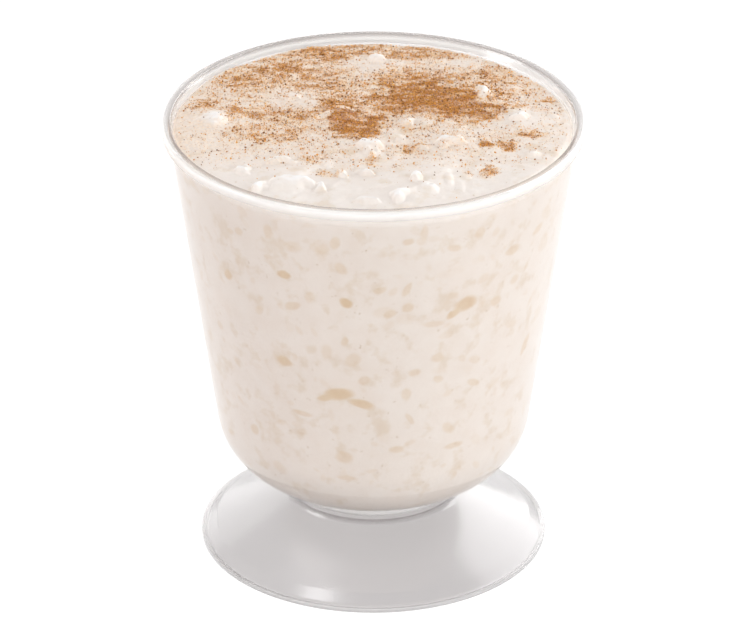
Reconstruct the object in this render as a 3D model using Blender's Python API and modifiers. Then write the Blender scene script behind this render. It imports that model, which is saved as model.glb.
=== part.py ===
"""Rice pudding in a clear footed dessert cup.

The cup is two mouldings, a bowl and a foot that snaps onto a ring under the bowl's floor. The
pudding fills the bowl almost to its rim. Units are metres, +Z is up, and the origin is on the
cup's axis, in the plane that it stands on.
"""

import math

import bmesh
import bpy

MODEL_NAME = "rice_pudding_cup"
SEGMENTS = 72  # around the axis
GAP = 0.0003  # between pieces that touch

# Bowl.
CUP_HEIGHT = 0.0925
RIM_RADIUS = 0.042
RIM_LAND = 0.0018  # width of the rim's top, with its rounding
RIM_ROUNDING = 0.0006
LIP_HEIGHT = 0.0021  # of the lip's outer face
EDGE_ROUNDING = 0.0003
WALL = 0.0012
WALL_TOP_RADIUS = 0.04047  # outer face, just under the lip
WALL_TAPER = 0.1437  # radius lost for each metre of height
CORNER_RADIUS = 0.0144  # outer face, between the wall and the floor
FLOOR_UNDERSIDE = 0.01545
SPIGOT_RADIUS = 0.0174  # ring under the floor, which the foot snaps onto
SPIGOT_BOTTOM = 0.0122

# Foot.
FOOT_RADIUS = 0.035
FOOT_SHELL = 0.0011
EDGE_HEIGHT = 0.0009  # upright face at the foot's outer edge
OUTER_CREASE = (0.0340, 0.0013)  # radius and height
INNER_CREASE = (0.0320, 0.0029)
COLLAR_BASE = (0.0187, 0.0100)
COLLAR_WAIST = (0.0179, 0.0113)
COLLAR_BEAD = (0.0176, 0.0117)
STANDING_RING = 0.0014  # width of the ring that the foot stands on

# Pudding.
SURFACE_LEVEL = 0.0912
SURFACE_RINGS = 10
MOST_HEIGHT = 0.0922  # of a lump's top, just under the rim
BACK_DIP = 0.0003  # the filling settles this much towards the back right
# Soft lumps of the surface: x, y, radius and height.
LUMPS = (
    (-0.0320, -0.0010, 0.0080, 0.0012),
    (-0.0180, -0.0245, 0.0070, 0.0015),
    (-0.0030, -0.0110, 0.0060, 0.0010),
    (0.0050, -0.0310, 0.0050, 0.0008),
    (0.0100, -0.0245, 0.0060, 0.0011),
    (0.0155, -0.0090, 0.0060, 0.0010),
    (0.0215, 0.0115, 0.0055, 0.0012),
    (0.0285, 0.0010, 0.0070, 0.0009),
    (-0.0080, 0.0040, 0.0080, 0.0011),
    (0.0010, 0.0300, 0.0060, 0.0008),
    (-0.0230, 0.0130, 0.0090, 0.0009),
    (0.0120, 0.0060, 0.0090, 0.0011),
)


def arc(center, radius, start, end, steps):
    """Points (radius, height) along an arc, from one angle to another in degrees, both included."""
    turns = [math.radians(start + (end - start) * i / steps) for i in range(steps + 1)]
    return [
        (center[0] + radius * math.cos(turn), center[1] + radius * math.sin(turn))
        for turn in turns
    ]


def wall_lean():
    """Angle in degrees by which the wall's outward normal points below the horizontal."""
    return math.degrees(math.atan(WALL_TAPER))


def wall_radius(height, inset):
    """Radius of the wall at a height, measured the inset inside its outer face."""
    drop = CUP_HEIGHT - LIP_HEIGHT - height
    return WALL_TOP_RADIUS - WALL_TAPER * drop - inset / math.cos(math.radians(wall_lean()))


def corner_center():
    """Centre of the corner arc, which is tangent to the floor and to the wall."""
    height = FLOOR_UNDERSIDE + CORNER_RADIUS
    return wall_radius(height, CORNER_RADIUS), height


def corner(inset, steps):
    """The corner's arc, the inset inside the outer face, from the floor's flat up to the wall."""
    return arc(corner_center(), CORNER_RADIUS - inset, -90, -wall_lean(), steps)


def bowl_profile():
    """Up the inside from the axis, over the rim, and down the outside to the axis."""
    lip_bottom = CUP_HEIGHT - LIP_HEIGHT
    rim_inner = RIM_RADIUS - RIM_LAND
    round_center = (RIM_RADIUS - RIM_ROUNDING, CUP_HEIGHT - RIM_ROUNDING)
    spigot_inner = SPIGOT_RADIUS - WALL
    inside = [(0, FLOOR_UNDERSIDE + WALL)] + corner(WALL, 6)
    inside += [(wall_radius(lip_bottom, WALL), lip_bottom)]
    inside += [(rim_inner - EDGE_ROUNDING / 2, CUP_HEIGHT - EDGE_ROUNDING), (rim_inner, CUP_HEIGHT)]
    rim = arc(round_center, RIM_ROUNDING, 90, 0, 3)
    rim += [(RIM_RADIUS, lip_bottom), (wall_radius(lip_bottom, 0), lip_bottom - EDGE_ROUNDING)]
    outside = list(reversed(corner(0, 7)))
    spigot = [
        (SPIGOT_RADIUS, FLOOR_UNDERSIDE - EDGE_ROUNDING),
        (SPIGOT_RADIUS, SPIGOT_BOTTOM),
        (spigot_inner, SPIGOT_BOTTOM),
        (spigot_inner, FLOOR_UNDERSIDE),
        (0, FLOOR_UNDERSIDE),
    ]
    return inside + rim + outside + spigot


def foot_profile():
    """From the top of the inner locating ring, down the outside, and back up the underside."""
    ring_outer = SPIGOT_RADIUS - WALL - GAP
    ring_inner = ring_outer - WALL
    ring_top = FLOOR_UNDERSIDE - GAP
    shoulder = SPIGOT_BOTTOM - GAP
    slope = math.atan2(COLLAR_BASE[1] - INNER_CREASE[1], INNER_CREASE[0] - COLLAR_BASE[0])
    under = (FOOT_SHELL * math.sin(slope), FOOT_SHELL * math.cos(slope))
    under_collar = (COLLAR_BASE[0] - under[0], COLLAR_BASE[1] - under[1])
    under_crease = (INNER_CREASE[0] - under[0], INNER_CREASE[1] - under[1])
    ring_foot = under_collar[1] + (under_collar[0] - ring_inner) * math.tan(slope)
    collar = [(SPIGOT_RADIUS - EDGE_ROUNDING / 2, shoulder), COLLAR_BEAD, COLLAR_WAIST, COLLAR_BASE]
    return [
        (ring_inner, ring_top),
        (ring_outer, ring_top),
        (ring_outer, shoulder),
        *collar,
        INNER_CREASE,
        OUTER_CREASE,
        (FOOT_RADIUS, EDGE_HEIGHT),
        (FOOT_RADIUS, 0),
        (FOOT_RADIUS - STANDING_RING, 0),
        under_crease,
        under_collar,
        (ring_inner, ring_foot),
        (ring_inner, ring_top),
    ]


def surface_height(x, y):
    """Height of the pudding's uneven top: soft lumps on a level that dips at the back right."""
    height = SURFACE_LEVEL - BACK_DIP * max(0, x + y) / RIM_RADIUS
    for lump_x, lump_y, radius, rise in LUMPS:
        height += rise * math.exp(-((x - lump_x) ** 2 + (y - lump_y) ** 2) / radius**2)
    return min(height, MOST_HEIGHT)


def pudding_profile():
    """The top from the axis out to the wall, then down the wall and in along the floor."""
    inset = WALL + GAP
    edge = wall_radius(SURFACE_LEVEL, inset)
    top = [(edge * i / SURFACE_RINGS, SURFACE_LEVEL) for i in range(SURFACE_RINGS + 1)]
    side = list(reversed(corner(inset, 6)))
    return top + side + [(0, FLOOR_UNDERSIDE + inset)]


def new_material(name, color, roughness, transmission=0.0, ior=1.45):
    material = bpy.data.materials.new(name)
    material.use_nodes = True
    shader = material.node_tree.nodes["Principled BSDF"]
    shader.inputs["Base Color"].default_value = (*color, 1)
    shader.inputs["Roughness"].default_value = roughness
    shader.inputs["Metallic"].default_value = 0
    shader.inputs["Transmission Weight"].default_value = transmission
    shader.inputs["IOR"].default_value = ior
    return material


def place(name, mesh, material, collection):
    mesh.materials.append(material)
    piece = bpy.data.objects.new(name, mesh)
    collection.objects.link(piece)
    return piece


def turned(name, profile, material, collection):
    """A solid turned from its profile by a Screw modifier."""
    mesh = bpy.data.meshes.new(name)
    edges = [(i, i + 1) for i in range(len(profile) - 1)]
    mesh.from_pydata([(radius, 0, height) for radius, height in profile], edges, [])
    piece = place(name, mesh, material, collection)
    screw = piece.modifiers.new("turn", "SCREW")
    screw.steps = SEGMENTS
    screw.render_steps = SEGMENTS
    screw.use_merge_vertices = True
    screw.merge_threshold = 0.000001
    screw.use_smooth_shade = True
    return piece


def uneven_topped(name, profile, material, collection):
    """A turned solid whose upper face follows surface_height."""
    shape = bmesh.new()
    points = [shape.verts.new((radius, 0, height)) for radius, height in profile]
    edges = [shape.edges.new(pair) for pair in zip(points, points[1:])]
    bmesh.ops.spin(
        shape,
        geom=points + edges,
        axis=(0, 0, 1),
        cent=(0, 0, 0),
        angle=math.tau,
        steps=SEGMENTS,
        use_merge=True,
    )
    bmesh.ops.remove_doubles(shape, verts=shape.verts[:], dist=0.000001)
    bmesh.ops.recalc_face_normals(shape, faces=shape.faces[:])
    for point in shape.verts:
        if point.co.z >= SURFACE_LEVEL - GAP:
            point.co.z = surface_height(point.co.x, point.co.y)
            flat_radius = math.hypot(point.co.x, point.co.y)
            most_radius = wall_radius(point.co.z, WALL + GAP)
            if flat_radius > most_radius:
                point.co.x *= most_radius / flat_radius
                point.co.y *= most_radius / flat_radius
    mesh = bpy.data.meshes.new(name)
    shape.to_mesh(mesh)
    shape.free()
    mesh.shade_smooth()
    return place(name, mesh, material, collection)


def main():
    for existing in list(bpy.data.objects):
        bpy.data.objects.remove(existing)
    collection = bpy.data.collections.new(MODEL_NAME)
    bpy.context.scene.collection.children.link(collection)
    clear = new_material("clear_plastic", (0.97, 0.97, 0.97), 0.03, transmission=1.0, ior=1.57)
    cream = new_material("pudding", (0.86, 0.76, 0.68), 0.4)
    turned("bowl", bowl_profile(), clear, collection)
    turned("foot", foot_profile(), clear, collection)
    uneven_topped("pudding", pudding_profile(), cream, collection)


main()
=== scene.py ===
"""Looks of rice pudding in a clear footed cup.

The cup's two mouldings are turned again with rounded edges. The filling is one mesh whose top is
relief of cream-coated rice, and rice grains and cinnamon are separate meshes at true size.
"""

import math

import bmesh
import bpy
import numpy as np
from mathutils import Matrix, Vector


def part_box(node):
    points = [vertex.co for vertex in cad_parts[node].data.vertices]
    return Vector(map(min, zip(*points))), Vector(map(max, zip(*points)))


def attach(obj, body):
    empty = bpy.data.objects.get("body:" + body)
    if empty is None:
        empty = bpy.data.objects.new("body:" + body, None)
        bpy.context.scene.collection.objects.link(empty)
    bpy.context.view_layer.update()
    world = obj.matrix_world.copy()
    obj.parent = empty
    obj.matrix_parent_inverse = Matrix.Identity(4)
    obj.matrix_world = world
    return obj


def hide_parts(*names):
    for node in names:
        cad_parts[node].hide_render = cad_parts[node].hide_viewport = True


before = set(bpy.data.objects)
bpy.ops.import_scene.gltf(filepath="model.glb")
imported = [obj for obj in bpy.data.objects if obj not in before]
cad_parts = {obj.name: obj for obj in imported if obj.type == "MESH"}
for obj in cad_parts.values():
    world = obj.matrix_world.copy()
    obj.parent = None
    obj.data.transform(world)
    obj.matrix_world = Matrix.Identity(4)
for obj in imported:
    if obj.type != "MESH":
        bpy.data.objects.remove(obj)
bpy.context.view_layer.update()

MM = 0.001

# Cup, in metres. The heights and radii of its ends come from the frame.
RIM_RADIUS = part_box("bowl")[1].x
CUP_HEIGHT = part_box("bowl")[1].z
SPIGOT_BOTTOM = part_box("bowl")[0].z
FOOT_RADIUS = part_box("foot")[1].x
FOOT_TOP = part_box("foot")[1].z
WALL = 1.2 * MM
GAP = 0.3 * MM
LIP_HEIGHT = 2.1 * MM
RIM_LAND = 1.8 * MM
RIM_ROUNDING = 0.6 * MM
LIP_FADE = 2.2 * MM
EDGE_ROUNDING = 0.3 * MM
WALL_TOP_RADIUS = RIM_RADIUS - 1.53 * MM
WALL_TAPER = 0.1437
CORNER_RADIUS = 14.4 * MM
FLOOR_UNDERSIDE = FOOT_TOP + GAP
SPIGOT_RADIUS = 17.4 * MM
FOOT_SHELL = 1.1 * MM
CUP_SEGMENTS = 288

# Filling, in metres.
INTO_WALL = 0.1 * MM
SURFACE_LEVEL = 91.2 * MM
BACK_DIP = 0.3 * MM
MOST_HEIGHT = CUP_HEIGHT + 1.2 * MM
EDGE_FALL = 0.9 * MM
EDGE_WIDTH = 1.4 * MM
TOP_CELLS = 256
HAZE = 0.08

# Soft lumps of the surface, in millimetres: x, y, radius and height.
LUMPS = (
    (-32.0, -1.0, 8.0, 1.2),
    (-18.0, -24.5, 7.0, 0.7),
    (-3.0, -11.0, 6.0, 1.0),
    (5.0, -31.0, 5.0, 0.8),
    (10.0, -24.5, 6.0, 0.7),
    (15.5, -9.0, 6.0, 1.0),
    (21.5, 11.5, 5.5, 1.2),
    (28.5, 1.0, 7.0, 0.9),
    (-8.0, 4.0, 8.0, 1.1),
    (1.0, 30.0, 6.0, 0.8),
    (-23.0, 13.0, 9.0, 0.9),
    (12.0, 6.0, 9.0, 1.1),
)

# Clots and grains that stand out of the surface, in millimetres and degrees:
# x, y, length, width, turn, how far the top stands out, and its rise for each millimetre of y.
CLOTS = (
    (-16.2, -28.4, 12.5, 7.0, 8, 0.9, 0.36),
    (-22.4, -29.0, 4.6, 3.4, 35, 1.3, 0),
    (-10.4, -29.0, 3.2, 6.4, 8, 1.0, 0.2),
    (5.4, -33.0, 4.4, 3.4, 15, 1.2, 0),
    (10.4, -29.4, 7.0, 4.6, -20, 0.9, 0.26),
    (8.6, -26.2, 3.4, 2.8, 20, 1.5, 0),
    (-1.1, -35.0, 6.4, 3.0, 0, 1.0, 0),
    (-25.4, -21.4, 3.4, 4.4, 10, 1.0, 0),
    (-18.3, -17.0, 6.0, 3.4, 5, 1.1, 0.1),
    (-1.3, -22.3, 3.6, 2.6, 0, 1.1, 0),
    (-6.2, -23.0, 2.8, 2.8, 0, 1.1, 0),
    (-0.8, -11.4, 7.4, 4.8, 80, 1.25, 0),
    (15.0, -9.2, 6.6, 4.4, 10, 1.25, 0),
    (22.2, 12.4, 7.6, 3.0, -62, 1.0, 0),
    (28.5, 2.0, 5.0, 3.6, 40, 1.2, 0),
    (0.8, 29.6, 5.0, 3.4, 0, 1.2, 0),
    (3.6, -6.0, 6.0, 3.4, 25, 0.8, 0),
    (7.0, 0.6, 5.0, 3.0, 70, 0.8, 0),
    (-31.5, 0.0, 12.0, 9.0, 70, 1.1, 0.05),
    (-7.0, 3.0, 11.0, 8.0, -75, 0.9, 0),
    (9.5, -11.0, 4.0, 2.6, 0, 0.7, 0),
    (31.0, -14.0, 5.0, 3.0, 60, 0.8, 0),
    (-16.5, 11.0, 6.0, 3.6, 10, 0.8, 0),
)

# Where cinnamon lies, in millimetres: x, y, radius in x, radius in y, and cover.
DUSTING = (
    (11.3, 10.9, 11.0, 6.5, 1.25),
    (18.0, 6.0, 7.0, 5.5, 0.95),
    (-3.4, -1.5, 4.6, 4.9, 1.60),
    (-6.0, 7.5, 5.5, 5.0, 0.65),
    (8.0, 20.0, 9.0, 5.0, 0.75),
    (23.5, 20.0, 8.0, 8.0, 0.43),
    (-8.0, 19.5, 8.0, 6.0, 0.40),
    (-14.0, 14.0, 19.0, 15.0, 0.24),
    (-7.5, 34.0, 14.0, 4.5, 0.56),
    (12.5, 34.5, 10.0, 4.0, 0.45),
    (-18.5, 25.5, 9.0, 7.0, 0.50),
    (-26.0, 20.5, 6.0, 5.0, 0.50),
    (-26.0, 3.8, 6.0, 2.6, 0.55),
    (-15.0, 3.0, 6.5, 3.0, 0.46),
    (-34.0, 8.5, 3.2, 3.8, 0.60),
    (-20.0, -4.0, 10.0, 5.0, 0.36),
    (26.3, -10.0, 1.9, 2.2, 0.95),
    (22.0, -9.7, 1.2, 1.5, 0.80),
    (22.4, -21.3, 1.3, 2.2, 0.50),
    (18.0, -22.0, 1.2, 1.2, 0.30),
    (31.5, -4.7, 3.5, 1.6, 0.50),
    (6.3, -11.3, 2.5, 1.6, 0.35),
    (-11.4, -16.3, 3.0, 1.5, 0.22),
    (-0.9, -16.9, 2.2, 1.3, 0.25),
    (-8.7, -22.4, 2.5, 1.5, 0.16),
    (27.4, 10.9, 4.0, 8.0, 0.22),
    (34.7, 12.6, 1.0, 1.2, 0.50),
    (0.0, 16.0, 34.0, 22.0, 0.22),
    (0.0, -4.0, 36.0, 13.0, 0.13),
)

# Where the pudding shows bare, in the same way.
BARE = (
    (-16.4, 10.9, 6.0, 4.0, 0.60),
    (-0.9, 28.0, 4.0, 4.5, 0.80),
    (-3.1, 21.5, 4.0, 3.0, 0.30),
    (5.8, 23.5, 3.5, 2.0, 0.50),
    (22.0, 12.6, 1.9, 4.0, 1.00),
    (29.5, 3.0, 4.0, 5.0, 0.80),
    (-32.5, 1.0, 4.0, 6.0, 0.80),
    (7.0, 0.8, 2.0, 2.5, 0.70),
    (3.5, -6.3, 4.0, 3.0, 0.80),
    (19.0, 30.0, 4.0, 3.0, 0.50),
    (-0.8, -11.4, 2.6, 3.6, 0.80),
    (14.0, -9.0, 2.6, 2.0, 0.80),
)

# Rice that shows through the wall, the plainest first: azimuth from the front in degrees, height,
# length and width in millimetres, and turn in degrees.
PLAINEST = 9
WALL_GRAINS = (
    (29.5, 67.9, 6.2, 4.0, 12),
    (25.5, 66.3, 4.2, 2.2, 35),
    (-11.5, 48.6, 7.4, 3.6, 8),
    (-16.0, 47.4, 4.6, 2.0, 18),
    (-4.0, 46.6, 6.6, 2.4, -14),
    (-30.3, 54.3, 4.0, 3.0, -10),
    (-27.5, 75.0, 3.8, 2.3, 0),
    (-8.3, 70.4, 3.4, 2.6, -45),
    (-50.0, 70.2, 3.2, 2.8, 40),
    (-24.0, 82.0, 4.8, 3.2, 10),
    (-15.0, 82.5, 4.4, 3.0, 30),
    (-11.0, 84.2, 3.6, 2.6, 80),
    (-31.5, 84.2, 4.6, 2.4, 85),
    (-42.5, 82.0, 2.8, 2.2, 20),
    (-46.0, 81.2, 2.2, 1.6, 0),
    (10.5, 69.2, 3.0, 2.8, 0),
    (5.0, 68.0, 3.4, 2.4, 20),
    (10.0, 73.4, 4.4, 1.8, 65),
    (2.0, 73.6, 3.2, 1.9, 15),
    (21.0, 56.4, 3.4, 2.6, 0),
    (13.5, 53.6, 3.2, 2.2, 10),
    (21.8, 51.2, 2.8, 2.0, -20),
    (11.0, 48.6, 3.4, 2.6, 85),
    (12.5, 42.6, 4.0, 1.4, -60),
    (8.3, 35.4, 3.4, 2.3, -5),
    (-10.5, 33.4, 4.4, 3.6, 0),
    (-10.0, 28.4, 4.2, 1.6, 0),
    (60.5, 51.3, 5.8, 2.4, 60),
    (27.0, 38.8, 4.2, 2.6, -50),
    (30.0, 34.2, 5.4, 1.7, 0),
    (48.3, 69.6, 3.0, 2.6, 30),
    (41.0, 66.3, 3.4, 3.0, 0),
    (45.5, 77.0, 4.6, 2.8, 0),
    (57.0, 78.8, 4.0, 2.4, 20),
    (-59.5, 56.0, 2.8, 2.2, 0),
    (-15.0, 58.4, 4.6, 2.6, 80),
    (-6.5, 57.0, 4.2, 3.4, 30),
    (-9.0, 61.3, 2.6, 1.8, 70),
    (-3.0, 52.2, 3.0, 2.6, 30),
    (19.0, 64.6, 5.6, 1.8, -5),
    (14.5, 86.0, 5.2, 2.0, 85),
    (10.0, 84.6, 3.0, 1.8, 0),
    (24.0, 81.7, 4.0, 1.9, -12),
    (32.0, 84.0, 3.2, 2.8, 60),
    (50.0, 58.8, 4.0, 2.2, -10),
    (35.0, 53.8, 3.8, 2.2, -30),
    (35.5, 48.3, 4.2, 2.0, -30),
    (-19.5, 70.8, 3.2, 2.6, 70),
    (-25.5, 68.0, 4.4, 2.4, 20),
    (-9.5, 78.4, 3.8, 2.6, -50),
    (-38.0, 64.8, 3.0, 2.2, 60),
    (-47.5, 34.6, 3.2, 2.8, 30),
    (-25.0, 42.6, 5.0, 1.6, -5),
    (-26.0, 38.0, 2.6, 2.0, 20),
)


# ---------------------------------------------------------------- outlines and turned meshes


def wall_lean():
    """Angle by which the wall's outward normal points below the horizontal."""
    return math.atan(WALL_TAPER)


def wall_radius(height, inset):
    """Radius of the wall at a height, measured the inset inside its outer face."""
    drop = CUP_HEIGHT - LIP_HEIGHT - height
    return WALL_TOP_RADIUS - WALL_TAPER * drop - inset / math.cos(wall_lean())


def inner_radius(height):
    """Radius of the bowl's inside at a height. It opens out inside the lip."""
    lip_bottom = CUP_HEIGHT - LIP_HEIGHT
    start = wall_radius(lip_bottom, WALL)
    flare = (RIM_RADIUS - RIM_LAND - start) / LIP_HEIGHT
    lip = start + flare * (height - lip_bottom)
    return np.where(height > lip_bottom, lip, wall_radius(height, WALL))


def corner_center():
    height = FLOOR_UNDERSIDE + CORNER_RADIUS
    return wall_radius(height, CORNER_RADIUS), height


def corner(inset, steps):
    """The arc between the floor and the wall, from the floor up, as (radius, height) points."""
    center_radius, center_height = corner_center()
    radius = CORNER_RADIUS - inset
    turns = np.linspace(-math.pi / 2, -wall_lean(), steps + 1)
    return [
        (center_radius + radius * math.cos(turn), center_height + radius * math.sin(turn))
        for turn in turns
    ]


def rounded(corners, steps=5):
    """An outline of (radius, height, rounding) corners, with an arc in place of each rounded one."""
    outline = []
    for i, (radius, height, rounding) in enumerate(corners):
        if rounding == 0:
            outline.append((radius, height))
            continue
        here = np.array([radius, height])
        before = np.array(corners[i - 1][:2]) - here
        after = np.array(corners[(i + 1) % len(corners)][:2]) - here
        before /= np.linalg.norm(before)
        after /= np.linalg.norm(after)
        half = math.acos(np.clip(before @ after, -1, 1)) / 2
        setback = rounding / math.tan(half)
        middle = before + after
        center = here + middle / np.linalg.norm(middle) * rounding / math.sin(half)
        start = here + before * setback - center
        end = here + after * setback - center
        turn = math.atan2(start[0] * end[1] - start[1] * end[0], start @ end)
        for step in range(steps + 1):
            angle = turn * step / steps
            cosine, sine = math.cos(angle), math.sin(angle)
            outline.append(
                (
                    center[0] + cosine * start[0] - sine * start[1],
                    center[1] + sine * start[0] + cosine * start[1],
                )
            )
    return outline


def bowl_outline():
    lip_bottom = CUP_HEIGHT - LIP_HEIGHT
    edge = EDGE_ROUNDING
    spigot_inner = SPIGOT_RADIUS - WALL
    inside = [(0, FLOOR_UNDERSIDE + WALL)] + corner(WALL, 18)
    flare = [lip_bottom + way_up * LIP_HEIGHT for way_up in (0.35, 0.65)]
    rim = [
        (wall_radius(lip_bottom, WALL), lip_bottom, 1.5 * MM),
        *[(float(inner_radius(height)), height, 0) for height in flare],
        (RIM_RADIUS - RIM_LAND, CUP_HEIGHT, edge),
        (RIM_RADIUS - 1.3 * MM, CUP_HEIGHT, 0),
        (RIM_RADIUS - 0.9 * MM, CUP_HEIGHT, 0),
        (RIM_RADIUS, CUP_HEIGHT, RIM_ROUNDING),
        (RIM_RADIUS, lip_bottom, edge),
        (wall_radius(lip_bottom, 0), lip_bottom, edge),
        (wall_radius(lip_bottom - LIP_FADE, 0), lip_bottom - LIP_FADE, 0),
    ]
    outside = list(reversed(corner(0, 20)))
    spigot = [
        (SPIGOT_RADIUS, FLOOR_UNDERSIDE, 0.6 * MM),
        (SPIGOT_RADIUS, SPIGOT_BOTTOM, edge),
        (spigot_inner, SPIGOT_BOTTOM, edge),
        (spigot_inner, FLOOR_UNDERSIDE, edge),
    ]
    start = [(*inside[-1], 0)]
    finish = [(*outside[0], 0)]
    rim_line = rounded(start + rim + finish)[1:-1]
    spigot_line = rounded([(*outside[-1], 0)] + spigot + [(0, FLOOR_UNDERSIDE, 0)])[1:]
    return inside + rim_line + outside[:-1] + spigot_line


def foot_outline():
    edge = 0.25 * MM
    ring_outer = SPIGOT_RADIUS - WALL - GAP
    ring_inner = ring_outer - WALL
    shoulder = SPIGOT_BOTTOM - 0.12 * MM
    base_radius, base_height = 18.7 * MM, 10.0 * MM
    inner_radius, inner_height = 32.0 * MM, 2.9 * MM
    slope = math.atan2(base_height - inner_height, inner_radius - base_radius)
    under = Vector((FOOT_SHELL * math.sin(slope), FOOT_SHELL * math.cos(slope)))
    under_collar = (base_radius - under.x, base_height - under.y)
    ring_foot = under_collar[1] + (under_collar[0] - ring_inner) * math.tan(slope)
    return rounded(
        [
            (ring_inner, FOOT_TOP, edge),
            (ring_outer, FOOT_TOP, edge),
            (ring_outer, shoulder, edge),
            (17.3 * MM, shoulder, 0.1 * MM),
            (17.75 * MM, 11.65 * MM, 0.2 * MM),
            (17.6 * MM, 11.3 * MM, 0.15 * MM),
            (18.0 * MM, base_height + 0.7 * MM * math.tan(slope), 2.2 * MM),
            (inner_radius, inner_height, 0.7 * MM),
            (34.0 * MM, 1.3 * MM, 0.3 * MM),
            (FOOT_RADIUS, 0.9 * MM, edge),
            (FOOT_RADIUS, 0, 0.15 * MM),
            (FOOT_RADIUS - 1.4 * MM, 0, 0.15 * MM),
            (inner_radius - under.x, inner_height - under.y, 1.0 * MM),
            (ring_inner, ring_foot, edge),
        ]
    )


def mesh_of(name, points, faces, smooth=True):
    mesh = bpy.data.meshes.new(name)
    mesh.from_pydata(np.asarray(points).tolist(), [], [list(face) for face in faces])
    mesh.validate()
    if smooth:
        mesh.shade_smooth()
    return mesh


def new_piece(name, mesh):
    piece = bpy.data.objects.new(name, mesh)
    bpy.context.scene.collection.objects.link(piece)
    return piece


def set_attribute(mesh, name, values):
    attribute = mesh.attributes.new(name, "FLOAT", "POINT")
    attribute.data.foreach_set("value", np.asarray(values, np.float32))


def turned(name, outline, closed):
    """A solid turned from an outline that runs down its outer side."""
    shape = bmesh.new()
    points = [shape.verts.new((radius, 0, height)) for radius, height in outline]
    pairs = list(zip(points, points[1:]))
    if closed:
        pairs.append((points[-1], points[0]))
    edges = [shape.edges.new(pair) for pair in pairs]
    bmesh.ops.spin(
        shape,
        geom=points + edges,
        axis=(0, 0, 1),
        cent=(0, 0, 0),
        angle=math.tau,
        steps=CUP_SEGMENTS,
        use_merge=True,
    )
    bmesh.ops.remove_doubles(shape, verts=shape.verts[:], dist=0.000001)
    bmesh.ops.recalc_face_normals(shape, faces=shape.faces[:])
    mesh = bpy.data.meshes.new(name)
    shape.to_mesh(mesh)
    shape.free()
    mesh.shade_smooth()
    return new_piece(name, mesh)


def share(values, start, end):
    """How far values are from the start to the end, from 0 to 1."""
    return np.clip((values - start) / (end - start), 0, 1)


def make_bowl():
    """The bowl, with painted light that whitens its lip and the parts round it, and painted grey shade along
    its rim's inner edge and its lip's lower corner.
    """
    bowl = turned("clear_bowl", bowl_outline(), False)
    radius, height = radii_and_heights(bowl.data)
    lip_bottom = CUP_HEIGHT - LIP_HEIGHT
    # Painted light: the lip's outside is whitened, most near its top, as if lit through the plastic, and
    # less along its lower corner.
    outer_face = share(radius, RIM_RADIUS - 0.9 * MM, RIM_RADIUS - 0.3 * MM)
    outer_face = outer_face * (0.36 + 0.30 * share(height, lip_bottom, CUP_HEIGHT - RIM_ROUNDING))
    low_corner = share(height, lip_bottom + 0.4 * MM, lip_bottom + 0.2 * MM)
    corner_line = low_corner * (radius > RIM_RADIUS - 0.4 * MM)
    outer_face = outer_face * (1 - 0.6 * corner_line)
    # Painted light also fades down the wall just below the lip, and lies on the inner flare above the
    # pudding and at the spigot's end.
    below = share(height, lip_bottom - LIP_FADE, lip_bottom) * (radius > wall_radius(height, WALL / 2))
    below = below * share(height, lip_bottom + 0.5 * MM, lip_bottom + 0.3 * MM)
    flare = share(height, CUP_HEIGHT - 0.3 * MM, CUP_HEIGHT - 0.7 * MM)
    flare = flare * share(height, SURFACE_LEVEL - MM, SURFACE_LEVEL)
    flare = flare * (radius < wall_radius(height, WALL / 2))
    spigot_end = share(height, SPIGOT_BOTTOM + 0.7 * MM, SPIGOT_BOTTOM + 0.3 * MM)
    painted_glow = np.maximum(np.maximum(0.32 * below, 0.4 * flare), 0.3 * spigot_end)
    set_attribute(bowl.data, "painted_glow", np.maximum(outer_face, painted_glow))
    # Painted shade: a grey ring along the rim's inner edge, and a grey line along the lip's lower corner.
    ring = share(radius, RIM_RADIUS - 0.7 * MM, RIM_RADIUS - 1.4 * MM)
    ring = ring * share(height, CUP_HEIGHT - 0.6 * MM, CUP_HEIGHT - 0.2 * MM)
    set_attribute(bowl.data, "grey", np.maximum(ring, 0.6 * corner_line))
    return bowl


def make_foot():
    """The foot, with painted light along its edge and on its collar, and a little painted grey shade on its
    collar.
    """
    foot = turned("clear_foot", foot_outline(), True)
    radius, height = radii_and_heights(foot.data)
    # Painted light along the foot's outer edge and on its collar; painted grey shade on the collar.
    edge = share(radius, FOOT_RADIUS - 0.8 * MM, FOOT_RADIUS - 0.2 * MM)
    collar = share(height, 9.6 * MM, 10.4 * MM) * share(height, 11.6 * MM, 11.2 * MM)
    set_attribute(foot.data, "painted_glow", np.maximum(0.4 * edge, 0.18 * collar))
    set_attribute(foot.data, "grey", 0.1 * collar)
    return foot


def radii_and_heights(mesh):
    points = np.zeros(len(mesh.vertices) * 3)
    mesh.vertices.foreach_get("co", points)
    points = points.reshape(-1, 3)
    return np.hypot(points[:, 0], points[:, 1]), points[:, 2]


# ---------------------------------------------------------------- the pudding's surface


def value_noise(x, y, cell, seed):
    """Smooth noise between -1 and 1 that changes over one cell."""
    side = 64
    grid = np.random.default_rng(seed).uniform(-1, 1, (side, side))
    column, row = x / cell, y / cell
    left, low = np.floor(column).astype(int), np.floor(row).astype(int)
    across, up = column - left, row - low
    across = across * across * (3 - 2 * across)
    up = up * up * (3 - 2 * up)
    near = grid[low % side, left % side] * (1 - across) + grid[low % side, (left + 1) % side] * across
    far = (
        grid[(low + 1) % side, left % side] * (1 - across)
        + grid[(low + 1) % side, (left + 1) % side] * across
    )
    return near * (1 - up) + far * up


def smooth_max(a, b, blend):
    """The larger of two heights, with the crease between them filled over the blend."""
    near = np.maximum(blend - np.abs(a - b), 0) / blend
    return np.maximum(a, b) + near * near * blend / 4


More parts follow.
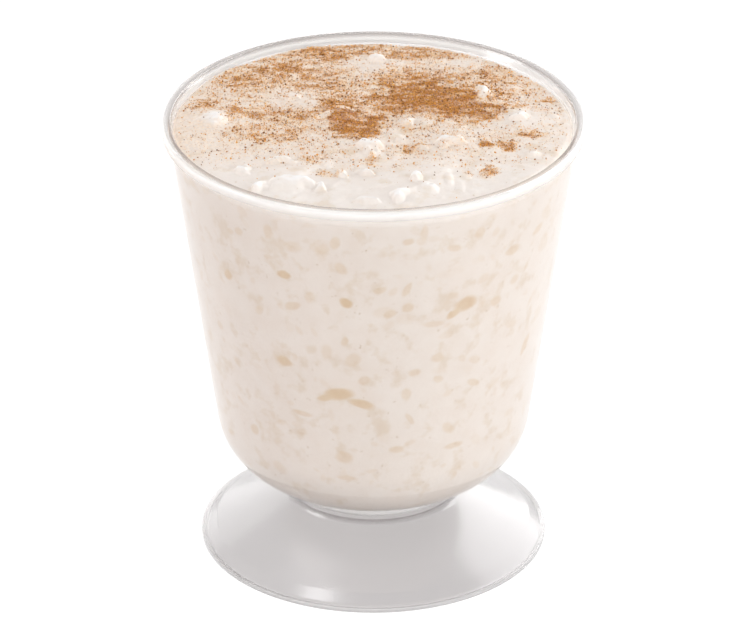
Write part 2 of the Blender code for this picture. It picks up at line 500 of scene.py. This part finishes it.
def spread(count, radius, spacing, seed):
    """Seeded points over a disc, none nearer to another than the spacing."""
    rng = np.random.default_rng(seed)
    kept = []
    for _ in range(count * 40):
        x, y = rng.uniform(-radius, radius, 2)
        if math.hypot(x, y) > radius:
            continue
        if all((x - other_x) ** 2 + (y - other_y) ** 2 > spacing**2 for other_x, other_y in kept):
            kept.append((x, y))
        if len(kept) == count:
            break
    return kept


def rice_in_cream():
    """Cream-coated grains of the surface, like CLOTS, all over the top."""
    rng = np.random.default_rng(11)
    grains = []
    for x, y in spread(330, 37.0, 2.9, 5):
        length = rng.uniform(4.2, 7.0)
        width = rng.uniform(2.2, 3.2)
        grains.append((x, y, length, width, rng.uniform(0, 180), rng.uniform(-0.75, 0.0), 0))
    return grains


def soft_level(x, y):
    """Height of the surface without its grains, in millimetres, for x and y in millimetres."""
    height = SURFACE_LEVEL / MM - BACK_DIP / MM * np.maximum(0, x + y) / (RIM_RADIUS / MM)
    for lump_x, lump_y, radius, rise in LUMPS:
        height = height + rise * np.exp(-((x - lump_x) ** 2 + (y - lump_y) ** 2) / radius**2)
    return height + 0.25 * value_noise(x, y, 6.0, 3)


def surface_height(x, y):
    """Height of the pudding's top in millimetres, for x and y in millimetres."""
    base = soft_level(x, y)
    height = base.copy()
    ragged_x = x + 1.0 * value_noise(x, y, 2.2, 41) + 0.4 * value_noise(x, y, 0.9, 42)
    ragged_y = y + 1.0 * value_noise(x, y, 2.2, 43) + 0.4 * value_noise(x, y, 0.9, 44)
    placed = [(grain, 1.0, x, y) for grain in rice_in_cream()]
    placed += [(clot, 0.4, ragged_x, ragged_y) for clot in CLOTS]
    for (grain_x, grain_y, length, width, turn, rise, tilt), blend, from_x, from_y in placed:
        near = (x - grain_x) ** 2 + (y - grain_y) ** 2 < (0.85 * length) ** 2
        if not near.any():
            continue
        cosine, sine = math.cos(math.radians(turn)), math.sin(math.radians(turn))
        offset_x, offset_y = from_x[near] - grain_x, from_y[near] - grain_y
        along = (cosine * offset_x + sine * offset_y) / (length / 2)
        across = (-sine * offset_x + cosine * offset_y) / (width / 2)
        inside = 1 - (np.abs(along) ** 2.4 + np.abs(across) ** 2.2)
        thickness = 0.45 * width
        center = soft_level(np.array([grain_x]), np.array([grain_y]))[0] + rise - thickness
        cap = center + tilt * (y[near] - grain_y) + thickness * np.sign(inside) * np.abs(inside) ** 0.6
        height[near] = smooth_max(height[near], cap, blend)
    height += 0.05 * value_noise(x, y, 1.3, 7) + 0.02 * value_noise(x, y, 0.55, 8)
    from_wall = inner_radius(SURFACE_LEVEL) / MM - np.hypot(x, y)
    fall = np.clip(1 - from_wall / (EDGE_WIDTH / MM), 0, 1)
    return np.minimum(height, MOST_HEIGHT / MM) - EDGE_FALL / MM * fall * fall


def dusting(x, y):
    """How much of the surface cinnamon covers, from 0 to 1, for x and y in millimetres."""
    cover = np.zeros_like(x)
    ragged_x = x + 1.1 * value_noise(x, y, 2.4, 21) + 0.5 * value_noise(x, y, 0.9, 22)
    ragged_y = y + 1.1 * value_noise(x, y, 2.4, 23) + 0.5 * value_noise(x, y, 0.9, 24)
    for blob_x, blob_y, radius_x, radius_y, amount in DUSTING:
        far = ((ragged_x - blob_x) / radius_x) ** 2 + ((ragged_y - blob_y) / radius_y) ** 2
        cover = np.maximum(cover, amount * np.exp(-(far**1.6) * 0.7)) + 0.12 * amount * np.exp(-far)
    for blob_x, blob_y, radius_x, radius_y, amount in BARE:
        far = ((ragged_x - blob_x) / radius_x) ** 2 + ((ragged_y - blob_y) / radius_y) ** 2
        cover = cover * (1 - amount * np.exp(-(far**2)))
    cover = cover * (1 + 0.45 * value_noise(x, y, 1.7, 31) + 0.3 * value_noise(x, y, 0.8, 32))
    streaks = 0.80 + 0.15 * share(cover, 0.6, 1.2) + 0.50 * value_noise(0.35 * x, y, 0.8, 33)
    from_wall = inner_radius(SURFACE_LEVEL) / MM - np.hypot(x, y)
    return np.clip(1.15 * cover, 0, 1) * streaks * np.clip((from_wall - 0.3) / 1.6, 0, 1)


# ---------------------------------------------------------------- the pudding


def disc_grid(cells):
    """Points of an even square grid bent into a unit disc, row by row."""
    steps = np.linspace(-1, 1, cells + 1)
    across, up = np.meshgrid(steps, steps)
    radius = np.where(np.abs(across) > np.abs(up), across, up)
    with np.errstate(divide="ignore", invalid="ignore"):
        wide = math.pi / 4 * up / across
        tall = math.pi / 2 - math.pi / 4 * across / up
    turn = np.where(np.abs(across) > np.abs(up), wide, tall)
    turn = np.where(radius == 0, 0, turn)
    return radius * np.cos(turn), radius * np.sin(turn)


def rim_of_grid(cells):
    """Indices of the grid's outer points, once round anticlockwise."""
    side = cells + 1
    south = [column for column in range(cells)]
    east = [row * side + cells for row in range(cells)]
    north = [cells * side + column for column in range(cells, 0, -1)]
    west = [row * side for row in range(cells, 0, -1)]
    return south + east + north + west


def make_pudding():
    """The filling: an uneven top on sides that reach a little into the wall."""
    side = TOP_CELLS + 1
    unit_x, unit_y = disc_grid(TOP_CELLS)
    skin = WALL - INTO_WALL
    edge_radius = inner_radius(SURFACE_LEVEL) + INTO_WALL
    x, y = unit_x.ravel() * edge_radius, unit_y.ravel() * edge_radius
    z = surface_height(x / MM, y / MM) * MM
    around = rim_of_grid(TOP_CELLS)
    stretch = (inner_radius(z[around]) + INTO_WALL) / edge_radius
    x[around] *= stretch
    y[around] *= stretch
    points = [np.stack([x, y, z], 1)]
    corner_points = list(reversed(corner(skin, 20)))
    wall_top = z[around].min() - 0.5 * MM
    lip_bottom = min(CUP_HEIGHT - LIP_HEIGHT, wall_top - 0.1 * MM)
    rings = [(float(inner_radius(wall_top)) + INTO_WALL, wall_top)]
    for way_down in (0, 0.25, 0.5, 0.75):
        height = lip_bottom + (corner_points[0][1] - lip_bottom) * way_down
        rings.append((wall_radius(height, skin), height))
    rings += corner_points
    direction = np.stack([x[around], y[around]], 1)
    direction /= np.linalg.norm(direction, axis=1)[:, None]
    for radius, height in rings:
        ring = np.concatenate([direction * radius, np.full((len(around), 1), height)], 1)
        points.append(ring)
    points.append(np.array([[0, 0, FLOOR_UNDERSIDE + skin]]))
    faces = []
    for row in range(TOP_CELLS):
        for column in range(TOP_CELLS):
            first = row * side + column
            faces.append((first, first + 1, first + side + 1, first + side))
    count = len(around)
    upper = around
    start = side * side
    for _ in rings:
        lower = list(range(start, start + count))
        for i in range(count):
            j = (i + 1) % count
            faces.append((upper[i], lower[i], lower[j], upper[j]))
        upper = lower
        start += count
    for i in range(count):
        faces.append((upper[i], start, upper[(i + 1) % count]))
    mesh = mesh_of("pudding_body", np.concatenate(points), faces)
    everything = np.concatenate(points)
    top_x, top_y = everything[:, 0] / MM, everything[:, 1] / MM
    stands_out = everything[:, 2] / MM - soft_level(top_x, top_y)
    haze = HAZE * share(top_y, -22, -8) * share(stands_out, 0.7, 0.3)
    # The haze is made stronger towards the left as painted shade there, and weaker towards the right.
    haze = haze * (1 + 0.6 * share(top_x, -14, -26) - 0.7 * share(top_x, 14, 26))
    # Raised clots are painted whiter, partly their own whiter cream and partly painted light on their tops.
    # Faces that rise towards the back face the front and are left darker as painted shade.
    rises_back = surface_height(top_x, top_y + 0.25) - surface_height(top_x, top_y - 0.25)
    lump_white_and_painted_light = share(stands_out, 0.5, 1.2) * (1 - 0.85 * share(rises_back / 0.5, 0.15, 0.45))
    set_attribute(mesh, "lump_white_and_painted_light", lump_white_and_painted_light)
    stain = np.where(everything[:, 2] > wall_top + 0.1 * MM, np.maximum(dusting(top_x, top_y), haze), 0)
    set_attribute(mesh, "dust", stain)
    set_attribute(mesh, "grain", np.zeros(len(everything)))
    return new_piece("pudding_body", mesh)


# ---------------------------------------------------------------- rice and cinnamon


def grain_shape(rng, around, fronts, backs):
    """An uneven grain seen from its flat side: outline, and shares of it for each ring of points."""
    turns = np.linspace(0, math.tau, around, endpoint=False)
    outline = np.ones(around)
    for waves in (2, 3, 4, 5):
        outline += rng.uniform(0, 0.3) / waves * np.sin(waves * turns + rng.uniform(0, math.tau))
    across, up, way_out, depth = [0.0], [0.0], [0.0], [0.0]
    for ring in fronts:
        across += list(ring * outline * np.cos(turns))
        up += list(ring * outline * np.sin(turns))
        way_out += [ring] * around
        depth += [0.0] * around
    for ring in backs:
        across += list(ring * outline * np.cos(turns))
        up += list(ring * outline * np.sin(turns))
        way_out += [1.0] * around
        depth += [math.sqrt(1 - ring**2)] * around
    across.append(0.0)
    up.append(0.0)
    way_out.append(1.0)
    depth.append(1.0)
    return np.array(across), np.array(up), np.array(way_out), np.array(depth)


def grain_faces(around, fronts, backs):
    """Faces for grain_shape. Front and back are apart, so that each is shaded by itself."""
    faces = []
    for i in range(around):
        faces.append((0, 1 + i, 1 + (i + 1) % around))
    for rings, first in ((len(fronts), 1), (len(backs), 1 + len(fronts) * around)):
        for ring in range(rings - 1):
            near = first + ring * around
            for i in range(around):
                j = (i + 1) % around
                faces.append((near + i, near + around + i, near + around + j, near + j))
    last = 1 + (len(fronts) + len(backs)) * around
    for i in range(around):
        faces.append((last - around + i, last, last - around + (i + 1) % around))
    return faces


def joined(name, shapes, faces):
    """One mesh of many shapes that share the same faces."""
    size = len(shapes[0])
    all_faces = [
        tuple(index + i * size for index in face) for i in range(len(shapes)) for face in faces
    ]
    return mesh_of(name, np.concatenate(shapes), all_faces)


def random_wall_grains():
    """More grains all round the wall, from specks to whole grains, like WALL_GRAINS."""
    rng = np.random.default_rng(47)
    grains = []
    for _ in range(330):
        length = min(5.6, 1.2 + rng.gamma(2.0, 0.85))
        height = rng.uniform(24.0, 87.0)
        azimuth = rng.uniform(-180, 180)
        grains.append((azimuth, height, length, length * rng.uniform(0.4, 0.8), rng.uniform(0, 180)))
    for _ in range(60):
        length = rng.uniform(3.4, 6.0)
        azimuth = rng.uniform(85, 275)
        grains.append(
            (azimuth, rng.uniform(24.0, 87.0), length, rng.uniform(2.0, 3.4), rng.uniform(0, 180))
        )
    return grains


def skin_point(height):
    """Radius of the pudding's skin at a height, and the outward slope of its normal."""
    center_radius, center_height = corner_center()
    radius = CORNER_RADIUS - WALL + INTO_WALL
    if height > center_height - radius * math.sin(wall_lean()):
        return wall_radius(height, WALL - INTO_WALL)
    rise = height - center_height
    return center_radius + math.sqrt(max(radius**2 - rise**2, 0))


def grain_strength(way_out, strength):
    """How strongly rice shows, from a grain's middle (0) to its outline (1)."""
    fade = np.clip((1 - way_out) / 0.5, 0, 1)
    return fade * fade * (3 - 2 * fade) * strength


def make_wall_grains():
    """Rice pressed against the wall, fading into the cream at its edges but not where grains meet."""
    rng = np.random.default_rng(3)
    around, fronts, backs = 18, (0.4, 0.6, 0.75, 0.87, 0.95, 1.0), (1.0, 0.85, 0.5)
    faces = grain_faces(around, fronts, backs)
    shapes, strengths, spots = [], [], []
    placed = [(grain, (0.75, 1.0)) for grain in WALL_GRAINS[:PLAINEST]]
    placed += [(grain, (0.25, 0.5)) for grain in WALL_GRAINS[PLAINEST:]]
    placed += [(grain, (0.05, 0.24)) for grain in random_wall_grains()]
    for (azimuth, height, length, width, turn), (faintest, strongest) in placed:
        turn = math.radians(turn)
        along, aside, out, depth = grain_shape(rng, around, fronts, backs)
        along, aside = along * length / 2 * MM, aside * width / 2 * MM
        across = along * math.cos(turn) - aside * math.sin(turn)
        up = along * math.sin(turn) + aside * math.cos(turn)
        z = height * MM + up
        skin = np.array([skin_point(value) for value in z])
        angle = math.radians(azimuth) + across / skin
        radius = skin + rng.uniform(0.01, 0.06) * MM - depth * width * 0.6 * MM
        shapes.append(np.stack([radius * np.sin(angle), -radius * np.cos(angle), z], 1))
        strength = rng.uniform(faintest, strongest)
        strengths.append(grain_strength(out, strength))
        spots.append((shapes[-1][0], length / 2 * MM, width / 2 * MM, turn, math.radians(azimuth), strength))
    for i, points in enumerate(shapes):
        for middle, half_length, half_width, turn, azimuth, strength in spots:
            if np.linalg.norm(middle - spots[i][0]) > half_length + spots[i][1]:
                continue
            offset = points - middle
            across = offset[:, 0] * math.cos(azimuth) + offset[:, 1] * math.sin(azimuth)
            along = (across * math.cos(turn) + offset[:, 2] * math.sin(turn)) / half_length
            aside = (offset[:, 2] * math.cos(turn) - across * math.sin(turn)) / half_width
            strengths[i] = np.maximum(strengths[i], grain_strength(np.hypot(along, aside), strength))
    mesh = joined("wall_rice", shapes, faces)
    set_attribute(mesh, "grain", np.concatenate(strengths))
    set_attribute(mesh, "dust", np.zeros(len(mesh.vertices)))
    set_attribute(mesh, "lump_white_and_painted_light", np.zeros(len(mesh.vertices)))
    return new_piece("wall_rice", mesh)


def rotations(rng, count):
    """Seeded random rotation matrices."""
    turns = rng.normal(0, 1, (count, 4))
    turns /= np.linalg.norm(turns, axis=1)[:, None]
    w, x, y, z = turns.T
    rows = [
        [1 - 2 * (y * y + z * z), 2 * (x * y - z * w), 2 * (x * z + y * w)],
        [2 * (x * y + z * w), 1 - 2 * (x * x + z * z), 2 * (y * z - x * w)],
        [2 * (x * z - y * w), 2 * (y * z + x * w), 1 - 2 * (x * x + y * y)],
    ]
    return np.transpose(np.array(rows), (2, 0, 1))


def dusted_places(rng, count, sharpness):
    """Seeded places on the surface, more of them where the cover is high."""
    reach = inner_radius(SURFACE_LEVEL) / MM - 0.5
    places = np.zeros((0, 2))
    while len(places) < count:
        tried = rng.uniform(-reach, reach, (count * 4, 2))
        tried = tried[np.hypot(tried[:, 0], tried[:, 1]) < reach]
        cover = dusting(tried[:, 0], tried[:, 1]) ** sharpness
        places = np.concatenate([places, tried[rng.uniform(0, 1, len(tried)) < cover]])
    return places[:count]


def make_dust(name, seed, count, sizes_mm, sharpness, tones, body):
    """Irregular grains of ground bark lying on the surface. Tones are a beta spread, dark to pale."""
    rng = np.random.default_rng(seed)
    points, faces = body
    places = dusted_places(rng, count, sharpness)
    smallest, largest = sizes_mm
    sizes = smallest + (largest - smallest) * rng.beta(1.4, 3.2, count)
    stretches = rng.uniform(0.55, 1.35, (count, 1, 3))
    shapes = points[None] * (1 + rng.uniform(-0.25, 0.25, (count, len(points), 1)))
    shapes = shapes * stretches * sizes[:, None, None] / 2
    shapes = np.einsum("nij,nkj->nki", rotations(rng, count), shapes)
    heights = surface_height(places[:, 0], places[:, 1]) + sizes * rng.uniform(0.0, 0.3, count)
    centers = np.concatenate([places, heights[:, None]], 1)
    everything = (shapes + centers[:, None]) * MM
    index = (np.arange(count)[:, None, None] * len(points) + np.array(faces)[None]).reshape(-1, 3)
    mesh = mesh_of(name, everything.reshape(-1, 3), index, smooth=False)
    set_attribute(mesh, "tone", np.repeat(rng.beta(*tones, count), len(points)))
    return new_piece(name, mesh)


TETRAHEDRON = (
    np.array([(1, 1, 1), (1, -1, -1), (-1, 1, -1), (-1, -1, 1)]) / math.sqrt(3),
    [(0, 1, 2), (0, 3, 1), (0, 2, 3), (1, 3, 2)],
)
OCTAHEDRON = (
    np.array([(1, 0, 0), (-1, 0, 0), (0, 1, 0), (0, -1, 0), (0, 0, 1), (0, 0, -1)], float),
    [(0, 2, 4), (2, 1, 4), (1, 3, 4), (3, 0, 4), (2, 0, 5), (1, 2, 5), (3, 1, 5), (0, 3, 5)],
)


# ---------------------------------------------------------------- materials


class Nodes:
    """Short names for building one material's node tree."""

    def __init__(self, name):
        self.material = bpy.data.materials.new(name)
        self.material.use_nodes = True
        self.tree = self.material.node_tree
        self.shader = self.tree.nodes["Principled BSDF"]
        self.output = self.tree.nodes["Material Output"]

    def add(self, kind, **settings):
        node = self.tree.nodes.new(kind)
        for key, value in settings.items():
            setattr(node, key, value)
        return node

    def link(self, source, target):
        self.tree.links.new(source, target)

    def set(self, **values):
        for key, value in values.items():
            self.shader.inputs[key.replace("_", " ")].default_value = value

    def noise(self, scale, detail=3.0, roughness=0.55):
        node = self.add("ShaderNodeTexNoise")
        node.inputs["Scale"].default_value = scale
        node.inputs["Detail"].default_value = detail
        node.inputs["Roughness"].default_value = roughness
        place = self.add("ShaderNodeNewGeometry")
        self.link(place.outputs["Position"], node.inputs["Vector"])
        return node.outputs["Fac"]

    def ramp(self, source, stops):
        node = self.add("ShaderNodeValToRGB")
        elements = node.color_ramp.elements
        while len(elements) < len(stops):
            elements.new(0.5)
        for element, (place, color) in zip(elements, stops):
            element.position = place
            element.color = (*color, 1)
        self.link(source, node.inputs["Fac"])
        return node.outputs["Color"]

    def mix(self, share, first, second, blend="MIX"):
        node = self.add("ShaderNodeMix", data_type="RGBA", blend_type=blend)
        for value, target in ((share, node.inputs[0]), (first, node.inputs[6]), (second, node.inputs[7])):
            if isinstance(value, (int, float)):
                target.default_value = value
            elif isinstance(value, tuple):
                target.default_value = (*value, 1)
            else:
                self.link(value, target)
        return node.outputs[2]

    def math(self, operation, first, second):
        node = self.add("ShaderNodeMath", operation=operation)
        for value, target in ((first, node.inputs[0]), (second, node.inputs[1])):
            if isinstance(value, (int, float)):
                target.default_value = value
            else:
                self.link(value, target)
        return node.outputs[0]

    def height(self, low, high):
        """Height above the floor, as 0 at the low level and 1 at the high one."""
        split = self.add("ShaderNodeSeparateXYZ")
        self.link(self.add("ShaderNodeNewGeometry").outputs["Position"], split.inputs["Vector"])
        return self.math("DIVIDE", self.math("SUBTRACT", split.outputs["Z"], low), high - low)

    def attribute(self, name):
        return self.add("ShaderNodeAttribute", attribute_name=name).outputs["Fac"]

    def bump(self, height, strength, distance):
        node = self.add("ShaderNodeBump")
        node.inputs["Strength"].default_value = strength
        node.inputs["Distance"].default_value = distance
        self.link(height, node.inputs["Height"])
        self.link(node.outputs["Normal"], self.shader.inputs["Normal"])


def clear_plastic(name, tint, roughness, shade):
    """Clear moulded plastic: glass with faint haze, which lets lamps light what is behind it."""
    nodes = Nodes(name)
    nodes.set(IOR=1.57, Roughness=roughness)
    # Painted shade is mixed in where the grey attribute is set. Painted light, a whitish colour that also
    # makes the plastic less clear, is mixed in where the second attribute is set.
    color = nodes.mix(nodes.attribute("grey"), tint, (0.40, 0.36, 0.345))
    color = nodes.mix(nodes.attribute("painted_glow"), color, (0.95, 0.94, 0.93))
    nodes.link(color, nodes.shader.inputs["Base Color"])
    clear = nodes.math("SUBTRACT", 1.0, nodes.attribute("painted_glow"))
    nodes.link(clear, nodes.shader.inputs["Transmission Weight"])
    haze = nodes.noise(90.0, 2.0)
    nodes.bump(haze, 0.01, 0.0002)
    passing = nodes.add("ShaderNodeBsdfTransparent")
    passing.inputs["Color"].default_value = (*shade, 1)
    path = nodes.add("ShaderNodeLightPath")
    mix = nodes.add("ShaderNodeMixShader")
    nodes.link(path.outputs["Is Shadow Ray"], mix.inputs[0])
    nodes.link(nodes.shader.outputs["BSDF"], mix.inputs[1])
    nodes.link(passing.outputs["BSDF"], mix.inputs[2])
    nodes.link(mix.outputs["Shader"], nodes.output.inputs["Surface"])
    return nodes.material


# Painted shade that darkens the pudding towards its floor: share of the way up, and brightness.
PAINTED_FLOOR_SHADE = ((0.0, 0.70), (0.08, 0.775), (0.18, 0.85), (0.32, 0.905), (0.55, 0.955), (1.0, 1.0))


def pudding_material():
    """Cream that varies a little, stained by cinnamon, and rice where a grain shows, with painted light on
    raised clots and painted shade towards the floor.
    """
    nodes = Nodes("pudding")
    cream = nodes.ramp(
        nodes.noise(230.0, 4.0),
        ((0.32, (0.86, 0.775, 0.715)), (0.68, (0.885, 0.815, 0.765))),
    )
    specks = nodes.ramp(
        nodes.noise(900.0, 2.0),
        ((0.68, (1.0, 1.0, 1.0)), (0.78, (0.80, 0.74, 0.66))),
    )
    cream = nodes.mix(1.0, cream, specks, "MULTIPLY")
    patches = nodes.ramp(nodes.noise(260.0, 5.0), ((0.54, (1.0, 1.0, 1.0)), (0.66, (0.93, 0.89, 0.83))))
    cream = nodes.mix(1.0, cream, patches, "MULTIPLY")
    # Whiter cream on raised clots: partly their own colour, partly painted light, with faces turned to the
    # front left darker as painted shade.
    cream = nodes.mix(nodes.attribute("lump_white_and_painted_light"), cream, (0.95, 0.925, 0.92))
    rice = nodes.ramp(
        nodes.noise(300.0, 2.0),
        ((0.3, (0.70, 0.50, 0.31)), (0.7, (0.77, 0.61, 0.43))),
    )
    color = nodes.mix(nodes.attribute("grain"), cream, rice)
    ragged = nodes.ramp(nodes.noise(1300.0, 2.0), ((0.36, (0.5, 0.5, 0.5)), (0.6, (1.0, 1.0, 1.0))))
    stain = nodes.math("MULTIPLY", nodes.math("POWER", nodes.attribute("dust"), 0.65), ragged)
    powder = nodes.ramp(nodes.attribute("dust"), ((0.35, (0.92, 0.56, 0.20)), (0.9, (0.47, 0.145, 0.02))))
    lumps = nodes.ramp(nodes.noise(2000.0, 2.0), ((0.4, (0.66, 0.54, 0.44)), (0.6, (1.1, 1.1, 1.05))))
    color = nodes.mix(stain, color, nodes.mix(1.0, powder, lumps, "MULTIPLY"))
    # Painted shade: the colour is darkened towards the pudding's floor.
    depth = nodes.ramp(
        nodes.height(16.5 * MM, 28 * MM),
        tuple((place, (value, value, value)) for place, value in PAINTED_FLOOR_SHADE),
    )
    color = nodes.mix(1.0, color, depth, "MULTIPLY")
    nodes.link(color, nodes.shader.inputs["Base Color"])
    nodes.set(Roughness=0.5, IOR=1.42)
    nodes.bump(nodes.noise(700.0, 3.0), 0.25, 0.0003)
    return nodes.material


def cinnamon_material():
    """Ground bark, from pale orange-brown to dark brown by grain."""
    nodes = Nodes("cinnamon")
    color = nodes.ramp(
        nodes.attribute("tone"),
        (
            (0.0, (0.19, 0.07, 0.02)),
            (0.3, (0.60, 0.26, 0.06)),
            (0.65, (0.80, 0.39, 0.08)),
            (1.0, (0.95, 0.59, 0.17)),
        ),
    )
    nodes.link(color, nodes.shader.inputs["Base Color"])
    nodes.set(Roughness=0.8)
    nodes.bump(nodes.noise(2500.0, 2.0), 0.3, 0.0001)
    return nodes.material


# ---------------------------------------------------------------- studio


def add_camera():
    camera = bpy.data.objects.new("camera", bpy.data.cameras.new("camera"))
    bpy.context.scene.collection.objects.link(camera)
    camera.location = (0, -1.100, 0.6161)
    aim = Vector((0, 0, 0.04785)) - camera.location
    camera.rotation_euler = aim.to_track_quat("-Z", "Y").to_euler()
    camera.data.sensor_width = 36
    camera.data.lens = 295.7
    camera.data.shift_x = 0.0022
    camera.data.clip_start = 0.01
    bpy.context.scene.camera = camera


def add_lamp(name, place, size, power, diffuse=True, glossy=True, color=(1, 1, 1)):
    """A square softbox that faces the cup: it lights matt surfaces, shows in gloss, or both."""
    lamp = bpy.data.lights.new(name, "AREA")
    lamp.size = size
    lamp.energy = power
    lamp.color = color
    holder = bpy.data.objects.new(name, lamp)
    bpy.context.scene.collection.objects.link(holder)
    holder.location = place
    holder.visible_transmission = False
    holder.visible_diffuse = diffuse
    holder.visible_glossy = glossy
    aim = Vector((0, 0, 0.06)) - holder.location
    holder.rotation_euler = aim.to_track_quat("-Z", "Y").to_euler()


def add_floor():
    """A pale floor that is partly bright by itself, like a lit white table."""
    half = 3.0
    corners = [(-half, -half, 0), (half, -half, 0), (half, half, 0), (-half, half, 0)]
    floor = new_piece("floor", mesh_of("floor", corners, [(0, 1, 2, 3)], smooth=False))
    nodes = Nodes("floor")
    nodes.set(Base_Color=(0.2, 0.2, 0.2, 1), Roughness=1.0)
    nodes.shader.inputs["Specular IOR Level"].default_value = 0
    nodes.shader.inputs["Emission Color"].default_value = (1, 1, 1, 1)
    nodes.shader.inputs["Emission Strength"].default_value = 0.92
    floor.data.materials.append(nodes.material)
    floor.location.z = -0.00002


# Brightness of the surroundings by the sine of the height above the horizon, and how much of it
# is left in front of the cup and behind it.
SKY = ((0.0, 1.25), (0.35, 0.73), (1.0, 0.39))

SKY_FRONT, SKY_BACK = 0.76, 1.10


def add_world():
    """Soft light from all round, brightest near the horizon."""
    world = bpy.data.worlds.new("studio")
    bpy.context.scene.world = world
    world.use_nodes = True
    tree = world.node_tree
    direction = tree.nodes.new("ShaderNodeTexCoord")
    split = tree.nodes.new("ShaderNodeSeparateXYZ")
    sky = tree.nodes.new("ShaderNodeValToRGB")
    sky.color_ramp.elements.new(0.35)
    for element, (place, grey) in zip(sky.color_ramp.elements, SKY):
        element.position = place
        element.color = (grey, grey, grey, 1)
    tree.links.new(direction.outputs["Generated"], split.inputs["Vector"])
    tree.links.new(split.outputs["Z"], sky.inputs["Fac"])
    tree.links.new(sky.outputs["Color"], tree.nodes["Background"].inputs["Color"])
    depth = tree.nodes.new("ShaderNodeMapRange")
    for name, value in (("From Min", -1), ("From Max", 1), ("To Min", SKY_FRONT), ("To Max", SKY_BACK)):
        depth.inputs[name].default_value = value
    tree.links.new(split.outputs["Y"], depth.inputs["Value"])
    tree.links.new(depth.outputs["Result"], tree.nodes["Background"].inputs["Strength"])


def add_studio():
    add_camera()
    add_world()
    add_floor()
    add_lamp("left", (-1.09, -0.18, 0.59), 0.5, 4.7)
    add_lamp("above", (-0.44, -0.20, 1.10), 0.25, 1.8)
    add_lamp("back_right", (0.52, 0.84, 0.42), 0.7, 3.4, glossy=False)
    add_lamp("right_card", (0.73, 0.71, 0.63), 1.1, 13.5, diffuse=False)
    add_lamp("left_card", (-0.60, 1.00, 0.36), 0.7, 2.0, diffuse=False)
    add_lamp("front_right", (0.86, -0.83, 0.38), 0.6, 7.7, glossy=False, color=(0.94, 0.99, 1.0))
    bounces = bpy.context.scene.cycles
    bounces.max_bounces = 24
    bounces.glossy_bounces = 16
    bounces.transmission_bounces = 24
    bpy.context.scene.view_settings.view_transform = "Standard"
    bpy.context.scene.view_settings.look = "None"


# ---------------------------------------------------------------- everything


def finish_piece(piece, material, node=None):
    piece.data.materials.append(material)
    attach(piece, "root")
    if node:
        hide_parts(node)


def main():
    clear = clear_plastic("clear_plastic", (0.90, 0.88, 0.87), 0.14, (0.96, 0.955, 0.95))
    # The foot's plastic is tinted darker than the bowl's as painted shade, standing in for the shaded floor
    # seen through it.
    foot_painted_shade_plastic = clear_plastic("clear_plastic_foot_painted_shade", (0.58, 0.555, 0.555), 0.22, (0.78, 0.77, 0.77))
    cream = pudding_material()
    spice = cinnamon_material()
    finish_piece(make_bowl(), clear, "bowl")
    finish_piece(make_foot(), foot_painted_shade_plastic, "foot")
    finish_piece(make_pudding(), cream, "pudding")
    finish_piece(make_wall_grains(), cream)
    fine = make_dust("cinnamon_fine", 61, 45000, (0.12, 0.34), 1.2, (1.1, 1.1), TETRAHEDRON)
    coarse = make_dust("cinnamon_coarse", 62, 3400, (0.24, 0.58), 0.8, (0.9, 1.7), OCTAHEDRON)
    finish_piece(fine, spice)
    finish_piece(coarse, spice)
    add_studio()


main()
